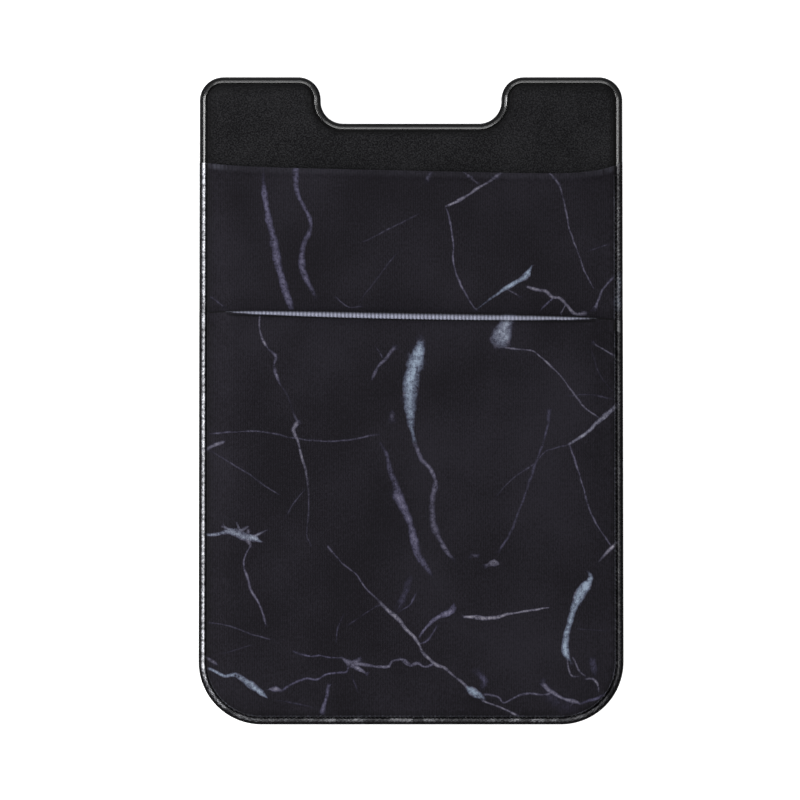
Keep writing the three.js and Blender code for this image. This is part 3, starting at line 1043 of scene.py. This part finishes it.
def print_colour(finish, colours, sizes):
    """The marble print: cloudy black ground with veins whose edges fray into the yarn, all of it
    broken up by the knit's columns of loops."""
    cloud = finish.spread(finish.noise(14 * MM, 3.0), 0.35, 0.7, 0.1, 0.8)
    speck = finish.spread(finish.noise(0.4 * MM, 3.0, 0.7, (1.6, 1.0, 1.0)), 0.3, 0.7, -0.5, 0.5)
    loops = finish.spread(finish.ridges("X", sizes.wale_pitch, 1.5), 0.0, 1.0, -0.2, 0.2)
    level = finish.math("ADD", finish.math("ADD", cloud, speck), loops, clamp=True)
    ground = finish.mix(level, colours.ink, colours.ink_light)
    fray = finish.spread(finish.noise(0.5 * MM, 4.0, 0.75), 0.3, 0.7, 0.0, 2.0)
    patches = finish.spread(finish.noise(1.7 * MM, 2.0, 0.6), 0.3, 0.7, 0.7, 1.25)
    shown = finish.math("MULTIPLY", finish.math("MULTIPLY", finish.mark("vein"), patches), fray, clamp=True)
    halo = finish.mix(finish.spread(shown, 0.0, 0.25), ground, colours.vein_halo)
    cool = finish.mark("cool")
    hue = finish.mix(finish.spread(cool, 0.05, 0.3), colours.vein_violet, colours.vein_grey)
    hue = finish.mix(finish.spread(cool, 0.4, 0.9), hue, colours.vein_blue)
    return finish.mix(finish.spread(shown, 0.03, 1.0), halo, hue)


def knit_relief(finish, sizes):
    """Height of the knit: columns of loops, crossed by fainter rows."""
    wales = finish.ridges("X", sizes.wale_pitch, 1.5)
    courses = finish.ridges("Y", sizes.course_pitch, 2.0)
    return finish.math("ADD", wales, finish.math("MULTIPLY", courses, 0.5))


def knit_finish(colours, sizes):
    """Matt printed knit."""
    finish = Finish("marble_knit", 0.9, **{"Specular IOR Level": 0.12})
    # Painted shade where the crease mark says
    finish.feed(finish.shader.inputs["Base Color"], painted_crease_shade(finish, print_colour(finish, colours, sizes)))
    finish.bump(knit_relief(finish, sizes), 0.035 * MM, 0.5)
    return finish.material


def weld_finish(colours, sizes):
    """Knit melted into the rim: shiny, with white yarn showing through as a stipple."""
    coat = {"Specular IOR Level": 0.12, "Coat Weight": 0.4, "Coat Roughness": 0.15, "Coat IOR": 1.9}
    finish = Finish("welded_knit", 0.35, **coat)
    stipple = finish.spread(finish.noise(0.3 * MM, 2.0, 0.8), 0.38, 0.56, 0.1, 1.0)
    patches = finish.spread(finish.noise(2.6 * MM, 2.0), 0.3, 0.6, 0.45, 1.0)
    dots = finish.math("MULTIPLY", stipple, patches)
    bare = finish.math("MULTIPLY", dots, finish.mark("yarn"), clamp=True)
    base = finish.mix(bare, print_colour(finish, colours, sizes), colours.melted)
    # Painted shade where the crease mark says: in the groove, on the land by the cut edge and between the
    # ticks
    finish.feed(finish.shader.inputs["Base Color"], painted_crease_shade(finish, base, 0.9))
    finish.gloss(finish.spread(stipple, 0.0, 1.0, 0.3, 0.6), 0.4)
    finish.bump(finish.noise(0.24 * MM, 2.0, 0.8), 0.05 * MM, 0.7)
    return finish.material


def yarn_finish(colours, sizes):
    """Unprinted yarn on the rolled lip: ribs with shade between them."""
    finish = Finish("bare_yarn", 0.9, **{"Specular IOR Level": 0.12})
    twist = finish.spread(finish.noise(0.2 * MM, 2.0, 0.6, (1.0, 0.4, 1.0)), 0.3, 0.7, 0.75, 1.1)
    share = finish.math("MULTIPLY", finish.mark("yarn"), twist, clamp=True)
    base = finish.mix(share, print_colour(finish, colours, sizes), colours.yarn)
    # Painted shade where the crease mark says: on the shoulder by the groove and round the lip
    finish.feed(finish.shader.inputs["Base Color"], painted_crease_shade(finish, base))
    finish.bump(finish.noise(0.12 * MM, 2.0, 0.6, (1.0, 0.35, 1.0)), 0.03 * MM, 0.6)
    return finish.material


def sheet_finish(name, tint, roughness, feature, level):
    """A plain film or paper with a slight cloud and grain."""
    finish = Finish(name, roughness, **{"Specular IOR Level": level})
    cloud = finish.spread(finish.noise(feature, 3.0), 0.3, 0.7, 0.0, 0.5)
    shade = [c * 0.86 for c in tint]
    finish.feed(finish.shader.inputs["Base Color"], finish.mix(cloud, list(tint), shade))
    worn = finish.spread(cloud, 0.0, 0.5, roughness, roughness + 0.1)
    finish.feed(finish.shader.inputs["Roughness"], worn)
    finish.bump(finish.noise(0.15 * MM, 2.0), 0.008 * MM, 0.4)
    return finish.material


def finishes(context):
    """This scene's materials, made once."""
    made = bpy.data.materials
    if "marble_knit" not in made:
        colours, sizes = context.scene.holder_colours, context.scene.holder_sizes
        suede_finish(colours)
        rim_finish(colours)
        knit_finish(colours, sizes)
        weld_finish(colours, sizes)
        yarn_finish(colours, sizes)
        sheet_finish("milky_adhesive", colours.adhesive, 0.35, 6 * MM, 0.5)
        sheet_finish("release_paper", colours.liner, 0.5, 4 * MM, 0.4)
    return made


# Pieces


def panel_skin(sizes):
    """The panel as a closed sheet: a matt cut edge, the pressed rim and the soft field, with painted shade on
    the shoulder inside the groove.
    """
    section = Section(sizes)
    insets = section.rim_insets()
    skin = Skin()
    base = closed_outline(sizes, 0.0)
    rows = [skin.row([(*p, PANEL_BACK) for p in base])]
    for inset in insets:
        outline = closed_outline(sizes, inset)
        uneven = 0.012 * MM * smooth_noise(outline, 2.2 * MM, 3.0) * (inset > 0)
        heights = PANEL_BACK + section.panel(inset) + uneven
        # The crease mark: painted shade on the suede by the groove, and matt gloss on the rim
        rows.append(skin.row([(*p, z) for p, z in zip(outline, heights)], 0.0, section.rim_crease_shade(inset)))
    for i in range(len(rows) - 1):
        slot = 1 if section.pressed(insets[max(i - 1, 0)]) else 0
        skin.band(rows[i] + rows[i][:1], rows[i + 1] + rows[i + 1][:1], slot)
    margin = section.field + sizes.field_step / 2
    edge = closed_outline(sizes, margin)
    inner = scattered(sizes, lambda grid: within(edge, grid))
    face = PANEL_BACK + sizes.panel_thickness
    skin.fill(rows[-1], inner, [], lambda spots: np.full(len(spots), face))
    skin.fill(rows[0], inner, [], lambda spots: np.full(len(spots), PANEL_BACK), turned=True)
    return skin


# Distance between the pale ticks of yarn on the rear pocket's hem
HEM_TICK = 0.45 * MM


def hem_fold(sizes, mouth, low, high, full, x):
    """Section through the rear pocket's hem: a low step, then the round fold. Its last row of loops
    shows as pale ticks, frayed at the two ends. Gives the points and each one's yarn and crease."""
    crest = high + sizes.hem_bulge * full
    radius = (crest - low) / 2
    centre = mouth - min(radius, (sizes.hem_depth - sizes.hem_step) / 2)
    base = mouth - sizes.hem_depth
    turns = np.linspace(np.pi / 2, -np.pi / 2, 9)
    nose = [(centre + (mouth - centre) * math.cos(a), low + radius * (1 + math.sin(a))) for a in turns]
    step = sizes.hem_step
    points = [(base, high), (base + step / 2, (high + crest) / 2), (base + step, crest)]
    points += [(centre - 0.25 * MM, crest), *nose, (base, low)]
    tick = 0.5 + 0.5 * math.cos(2 * math.pi * x / HEM_TICK)
    frayed = smooth(0.8 * HALF_WIDTH, 0.95 * HALF_WIDTH, abs(x)) * (1.0 if x < 0 else 0.4)
    pale = 0.004 + 0.01 * tick + frayed * (0.04 + 0.16 * noise.noise(Vector((x / (0.5 * MM), 7.0, 0.0))))
    yarn = [max(pale, 0.0) * float(smooth(0.95 * MM, 0.55 * MM, mouth - y)) for y, _ in points]
    return points, [*yarn[:-1], 0.0], [0.0] * len(points)


# How far the crease under the lip shades the knit below it
CREASE_REACH = 0.32 * MM


def lip_fold(sizes, mouth, low, high, full, x):
    """Section through the front pocket's lip: a ribbed roll that meets the knit's face in a crease.
    Gives the points and each one's yarn and crease mark, which is painted shade on the roll's top by
    the mouth, in the crease under the roll and in the mouth's gap near the lip's ends."""
    lens = max(1 - (x / sizes.lip_span) ** 2, 0.0) ** 0.55
    roll = max(sizes.lip_roll - sizes.knit_thickness, 0.0) * full * lens
    rib = 0.5 + 0.5 * math.cos(2 * math.pi * x / sizes.rib_pitch)
    radius = (high - low + roll) / 2
    centre = mouth - radius
    crease = math.pi - math.asin(min(max((high - low - radius) / radius, -1), 1))
    proud = radius * (1 + (rib - 1) * 0.16 * lens)
    turns = np.linspace(crease, -math.pi / 2, 15)
    shape = [(centre + proud * math.cos(a), low + radius + proud * math.sin(a)) for a in turns[1:-1]]
    start = (centre + radius * math.cos(crease), high)
    base = mouth - 1.5 * sizes.lip_roll
    below = start[0] - CREASE_REACH
    points = [(base, high), (below, high), start, *shape, (centre, low), (base, low)]
    shown = sizes.lip_roll * lens
    run_out = smooth(0.85 * sizes.lip_span, sizes.lip_span, abs(x))
    bare, dark = [], []
    for y, z in points:
        depth = (mouth - y) / max(shown, 0.2 * MM)
        # Bare yarn on the roll: it fades in below the roll's top, painted shade where the roll turns in to
        # the mouth, and ends where the print begins
        lit = smooth(0.15, 0.8, depth) * (1 - smooth(0.97, 1.08, depth))
        # Painted shade in the mouth's gap near the lip's ends
        gap = run_out * (1 - smooth(0.2 * MM, 0.45 * MM, mouth - y))
        bare.append(lit)
        # Painted shade on the roll's top by the mouth
        dark.append(max(gap, 1 - smooth(0.12, 0.4, depth)))
    bare[0] = bare[1] = bare[2] = bare[-1] = 0.0
    # Painted shade in the crease where the roll meets the knit's face
    dark[2] = min(lens * 4, 1.0)
    # The yarn is darker between the ribs, painted shade, and less towards the lip's ends
    return points, [b * (0.5 + 0.48 * rib) * lens**0.4 for b in bare], dark


def pocket_skin(sizes, layers, mouth, fold, column_step, paths):
    """A pocket as a closed sheet: the welded rim, the soft field, the fold at its mouth and its back."""
    under, over = layers
    section = Section(sizes)
    insets = section.rim_insets()
    skin = Skin()
    side = HALF_WIDTH - insets
    across = between((side[-1], 0.0), (-side[-1], 0.0), int(2 * side[-1] / column_step))[::-1, 0]
    columns = np.concatenate([-side, across, side[::-1]])
    sections = []
    for x in columns:
        inset = min(HALF_WIDTH - abs(x), section.loose)
        full = section.fullness(inset)
        points, yarn, crease = fold(sizes, mouth(sizes, x), under(inset), over(inset), full, x)
        weld = section.weld_yarn(inset) * side_share(np.array([[x, 0.0]]))[0]
        # The crease mark: the fold's painted shade, with the rim's painted shade in the groove and on the
        # land
        crease = np.maximum(crease, section.rim_crease_shade(inset))
        sections.append(skin.row([(x, y, PANEL_BACK + z) for y, z in points], np.maximum(yarn, weld), crease))
    last = len(insets) - 1
    for i in range(len(sections) - 1):
        nearest = min(i, len(sections) - 2 - i, last)
        skin.band(sections[i + 1], sections[i], 1 if section.pressed(insets[nearest]) else 2)

    def cap(row, turned):
        for i in range(len(row) - 2):
            corners = [row[-1], row[i], row[i + 1]]
            skin.face(corners[::-1] if turned else corners, 1)

    cap(sections[0], False)
    cap(sections[-1], True)

    def rim_row(inset, i, height, place, rough):
        """A row along the rim, down the left side and up the right, between two of the fold's columns.
        Its face is rough, 1, and its back smooth, 0."""
        left, right = lower_corners(sizes, inset)
        start, end = (skin.points[sections[k][place]][:2] for k in (i, -1 - i))
        count = int(2 * HALF_HEIGHT / sizes.edge_step)
        runs = [between(start, left[0], count), left]
        runs += [between(left[-1], right[0], int(2 * HALF_WIDTH / sizes.edge_step))]
        flat = np.concatenate([*runs, right, between(right[-1], end, count)])
        bead = smooth(0.0, section.bead_start, inset) * (1 - smooth(section.bead_end, section.field, inset))
        beaded, ticked = beads(flat)
        bumps = 0.05 * smooth_noise(flat, 1.3 * MM, 1.0) + 0.03 * smooth_noise(flat, 0.5 * MM, 2.0)
        bumps = rough * bead * MM * (bumps + 0.05 * (ticked - 0.5 * (ticked > 0)))
        inner = rough * smooth(section.bead_end - 0.1 * MM, section.bead_end, inset)
        weld = rough * section.weld_yarn(inset) * side_share(flat) * beaded
        weld = np.maximum(weld, inner * GROOVE_BARE * ticked**2)
        # Painted shade in the groove and on the land, less where ticks of yarn reach into the groove, and
        # painted shade between the ticks on the right and along the bottom
        crease = rough * section.rim_crease_shade(inset) * (1 - 0.8 * inner * ticked**2)
        crease = np.maximum(crease, rough * bead * (tick_share(flat) - ticked))
        middle = skin.row([(*p, PANEL_BACK + height(inset) + b) for p, b in zip(flat, bumps)], weld, crease)
        return [sections[i][place], *middle, sections[-1 - i][place]]

    face = [rim_row(inset, i, over, 0, 1.0) for i, inset in enumerate(insets)]
    back = [rim_row(inset, i, under, -1, 0.0) for i, inset in enumerate(insets)]
    skin.band(back[0], face[0], 1)
    for i in range(last):
        skin.band(face[i], face[i + 1], 1 if section.pressed(insets[i]) else 2)
        skin.band(back[i + 1], back[i], 0)

    inner_columns = sections[last + 1 : len(sections) - 1 - last][::-1]
    base = np.array([skin.points[row[0]][:2] for row in sections])

    def keep(spots, margin):
        below = np.interp(spots[:, 0], base[:, 0], base[:, 1]) - spots[:, 1]
        return (inset_at(sizes, spots) > section.field + margin) & (below > margin)

    def height_of(layer):
        def height(spots):
            inset = np.clip(inset_at(sizes, spots), section.field, section.loose)
            slack = smooth(section.field, section.loose, inset)
            waves = 0.03 * MM * smooth_noise(spots, 11 * MM, 5.0) * slack
            below = np.interp(spots[:, 0], base[:, 0], base[:, 1]) - spots[:, 1]
            return PANEL_BACK + layer(inset) + waves * smooth(0.0, 6 * MM, below)

        return height

    grid = scattered(sizes, lambda spots: keep(spots, sizes.field_step / 2))
    lines = clipped(vein_lines(paths), lambda spots: keep(spots, 0.08 * MM))
    skin.fill(face[-1] + [row[0] for row in inner_columns], grid, lines, height_of(over))
    skin.fill(back[-1] + [row[-1] for row in inner_columns], grid, [], height_of(under), turned=True)
    return skin


def rear_mouth(sizes, x):
    """Height of the rear pocket's mouth across the holder."""
    across = x / HALF_WIDTH
    return REAR_MOUTH_ENDS - (sizes.rear_sag + sizes.rear_lean * across) * (1 - across**8)


def front_mouth(sizes, x):
    """Height of the front pocket's mouth across the holder."""
    across = x / HALF_WIDTH
    level = REAR_MOUTH_ENDS - sizes.front_drop
    return level - sizes.front_fall * across + sizes.front_bow * (1 - across**4)


def make_pocket(context, name, node, shape, veins):
    """A printed pocket that rides on the body and stands for its CAD node. Its shape is the heights
    of its two layers, its mouth, the fold there and the spacing of the fold's columns."""
    sizes = context.scene.holder_sizes
    chance = np.random.default_rng(context.scene.holder_stage.seed)
    paths = [vein_path(vein, chance) for vein in veins]
    skin = pocket_skin(sizes, *shape, paths)
    made = finishes(context)
    piece = mesh_piece(name, skin, [made["marble_knit"], made["welded_knit"], made["bare_yarn"]])
    shown, cool = print_marks(veins, paths, np.array(skin.points)[:, :2])
    add_mark(piece.data, "vein", shown)
    add_mark(piece.data, "cool", cool)
    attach(piece, "root")
    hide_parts(node)
    return piece


class HOLDER_OT_panel(bpy.types.Operator):
    """Make the microfibre panel with its pressed rim and thumb notch"""

    bl_idname = "holder.panel"
    bl_label = "Panel"

    def execute(self, context):
        made = finishes(context)
        skin = panel_skin(context.scene.holder_sizes)
        piece = mesh_piece("suede_panel", skin, [made["suede_nap"], made["pressed_rim"]])
        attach(piece, "root")
        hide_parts("back_panel")
        return {"FINISHED"}


class HOLDER_OT_rear_pocket(bpy.types.Operator):
    """Make the taller printed pocket with its turned-under hem"""

    bl_idname = "holder.rear_pocket"
    bl_label = "Rear Pocket"

    def execute(self, context):
        sizes = context.scene.holder_sizes
        section = Section(sizes)
        layers = (section.rear_under, section.rear_over)
        shape = (layers, rear_mouth, hem_fold, 0.11 * MM)
        piece = make_pocket(context, "rear_knit_pocket", "rear_pocket", shape, REAR_VEINS)
        return {"FINISHED"}


class HOLDER_OT_front_pocket(bpy.types.Operator):
    """Make the shorter printed pocket with its rolled, ribbed lip"""

    bl_idname = "holder.front_pocket"
    bl_label = "Front Pocket"

    def execute(self, context):
        sizes = context.scene.holder_sizes
        section = Section(sizes)
        layers = (section.front_under, section.front_over)
        shape = (layers, front_mouth, lip_fold, 0.09 * MM)
        piece = make_pocket(context, "front_knit_pocket", "front_pocket", shape, FRONT_VEINS)
        return {"FINISHED"}


class HOLDER_OT_adhesive_back(bpy.types.Operator):
    """Finish the adhesive sheet and its release liner"""

    bl_idname = "holder.adhesive_back"
    bl_label = "Adhesive Back"

    def execute(self, context):
        made = finishes(context)
        pairs = (("adhesive_sheet", "milky_adhesive"), ("release_liner", "release_paper"))
        for node, material in pairs:
            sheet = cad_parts[node]
            sheet.data.materials.clear()
            sheet.data.materials.append(made[material])
        return {"FINISHED"}


def soft_lamp(name, place, target, width, height, power):
    """A rectangular lamp at a place, aimed at a target."""
    lamp = bpy.data.lights.new(name, "AREA")
    lamp.shape = "RECTANGLE"
    lamp.size = width
    lamp.size_y = height
    lamp.energy = power
    holder = bpy.data.objects.new(name, lamp)
    holder.location = place
    aim = Vector(target) - Vector(place)
    holder.rotation_mode = "QUATERNION"
    holder.rotation_quaternion = aim.to_track_quat("-Z", "Y")
    bpy.context.scene.collection.objects.link(holder)


def camera_white(tree, shader, strength):
    """Adds a plain white glow. Gives it, after how far a ray sees it: fully where it comes from the
    camera, directly or through something clear, and not at all otherwise."""
    nodes, links = tree.nodes, tree.links
    path = nodes.new("ShaderNodeLightPath")
    seen = nodes.new("ShaderNodeMath")
    seen.operation = "MAXIMUM"
    links.new(path.outputs["Is Camera Ray"], seen.inputs[0])
    links.new(path.outputs["Is Transmission Ray"], seen.inputs[1])
    glow = nodes.new("ShaderNodeEmission" if shader.type == "BSDF_DIFFUSE" else "ShaderNodeBackground")
    glow.inputs["Strength"].default_value = strength
    return seen.outputs[0], glow


class HOLDER_OT_stage(bpy.types.Operator):
    """Set the pale floor, the soft lamps and the camera above"""

    bl_idname = "holder.stage"
    bl_label = "Stage"

    def execute(self, context):
        scene, stage = context.scene, context.scene.holder_stage
        bpy.ops.mesh.primitive_plane_add(size=4.0, location=(0.0, 0.0, CAD_LOW.z))
        floor = context.object
        floor.name = "pale_floor"
        floor.data.materials.append(self.floor_material())
        self.light_world(scene)
        middle = (0.0, 0.0, PANEL_BACK)
        soft_lamp("key_lamp", (-0.34, 0.03, 0.17), middle, 0.3, 0.16, stage.key_power)
        soft_lamp("fill_lamp", (0.34, 0.0, 0.1), middle, 0.3, 0.08, stage.fill_power)
        soft_lamp("top_lamp", (0.0, 0.36, 0.17), middle, 0.4, 0.18, stage.top_power)
        soft_lamp("low_lamp", (0.0, -0.36, 0.17), middle, 0.4, 0.12, stage.low_power)
        camera = bpy.data.cameras.new("camera")
        camera.lens = stage.lens
        viewer = bpy.data.objects.new("camera", camera)
        distance = stage.view_width * stage.lens / camera.sensor_width
        tilt = stage.view_tilt
        aim = Vector((-stage.shift_right, -stage.shift_up, PANEL_HIGH.z))
        viewer.location = aim + distance * Vector((0.0, -math.sin(tilt), math.cos(tilt)))
        viewer.rotation_euler = (tilt, 0.0, 0.0)
        scene.collection.objects.link(viewer)
        scene.camera = viewer
        scene.view_settings.view_transform = "Standard"
        return {"FINISHED"}

    def floor_material(self):
        """A pale floor that takes the holder's shadow and looks white to the camera."""
        material = bpy.data.materials.new("pale_floor")
        material.use_nodes = True
        tree = material.node_tree
        tree.nodes.clear()
        output = tree.nodes.new("ShaderNodeOutputMaterial")
        plain = tree.nodes.new("ShaderNodeBsdfDiffuse")
        plain.inputs["Color"].default_value = (0.8, 0.8, 0.8, 1.0)
        seen, glow = camera_white(tree, plain, 0.8)
        both = tree.nodes.new("ShaderNodeAddShader")
        lit = tree.nodes.new("ShaderNodeMixShader")
        tree.links.new(plain.outputs[0], both.inputs[0])
        tree.links.new(glow.outputs[0], both.inputs[1])
        tree.links.new(seen, lit.inputs[0])
        tree.links.new(plain.outputs[0], lit.inputs[1])
        tree.links.new(both.outputs[0], lit.inputs[2])
        tree.links.new(lit.outputs[0], output.inputs[0])
        return material

    def light_world(self, scene):
        """A dim room for the light, and white for the camera."""
        world = bpy.data.worlds.new("studio")
        scene.world = world
        world.use_nodes = True
        tree = world.node_tree
        tree.nodes.clear()
        output = tree.nodes.new("ShaderNodeOutputWorld")
        room = tree.nodes.new("ShaderNodeBackground")
        room.inputs["Strength"].default_value = 0.18
        seen, glow = camera_white(tree, room, 1.0)
        mixed = tree.nodes.new("ShaderNodeMixShader")
        tree.links.new(seen, mixed.inputs[0])
        tree.links.new(room.outputs[0], mixed.inputs[1])
        tree.links.new(glow.outputs[0], mixed.inputs[2])
        tree.links.new(mixed.outputs[0], output.inputs[0])


class HOLDER_PT_build(bpy.types.Panel):
    """Lists the holder's pieces in the order they are made"""

    bl_idname = "HOLDER_PT_build"
    bl_label = "Card Holder"
    bl_space_type = "VIEW_3D"
    bl_region_type = "UI"
    bl_category = "Card Holder"

    def draw(self, context):
        for operator in OPERATORS:
            self.layout.operator(operator.bl_idname)
        for group in (context.scene.holder_sizes, context.scene.holder_colours, context.scene.holder_stage):
            box = self.layout.box()
            for name in group.__annotations__:
                box.prop(group, name)


OPERATORS = (
    HOLDER_OT_panel,
    HOLDER_OT_rear_pocket,
    HOLDER_OT_front_pocket,
    HOLDER_OT_adhesive_back,
    HOLDER_OT_stage,
)
CLASSES = (HolderSizes, HolderColours, HolderStage, *OPERATORS, HOLDER_PT_build)


def register():
    for item in CLASSES:
        bpy.utils.register_class(item)
    bpy.types.Scene.holder_sizes = PointerProperty(type=HolderSizes)
    bpy.types.Scene.holder_colours = PointerProperty(type=HolderColours)
    bpy.types.Scene.holder_stage = PointerProperty(type=HolderStage)


def unregister():
    del bpy.types.Scene.holder_stage
    del bpy.types.Scene.holder_colours
    del bpy.types.Scene.holder_sizes
    for item in reversed(CLASSES):
        bpy.utils.unregister_class(item)


def main():
    register()
    bpy.ops.object.select_all(action="DESELECT")
    bpy.ops.holder.panel()
    bpy.ops.holder.rear_pocket()
    bpy.ops.holder.front_pocket()
    bpy.ops.holder.adhesive_back()
    bpy.ops.holder.stage()


if __name__ == "__main__":
    main()
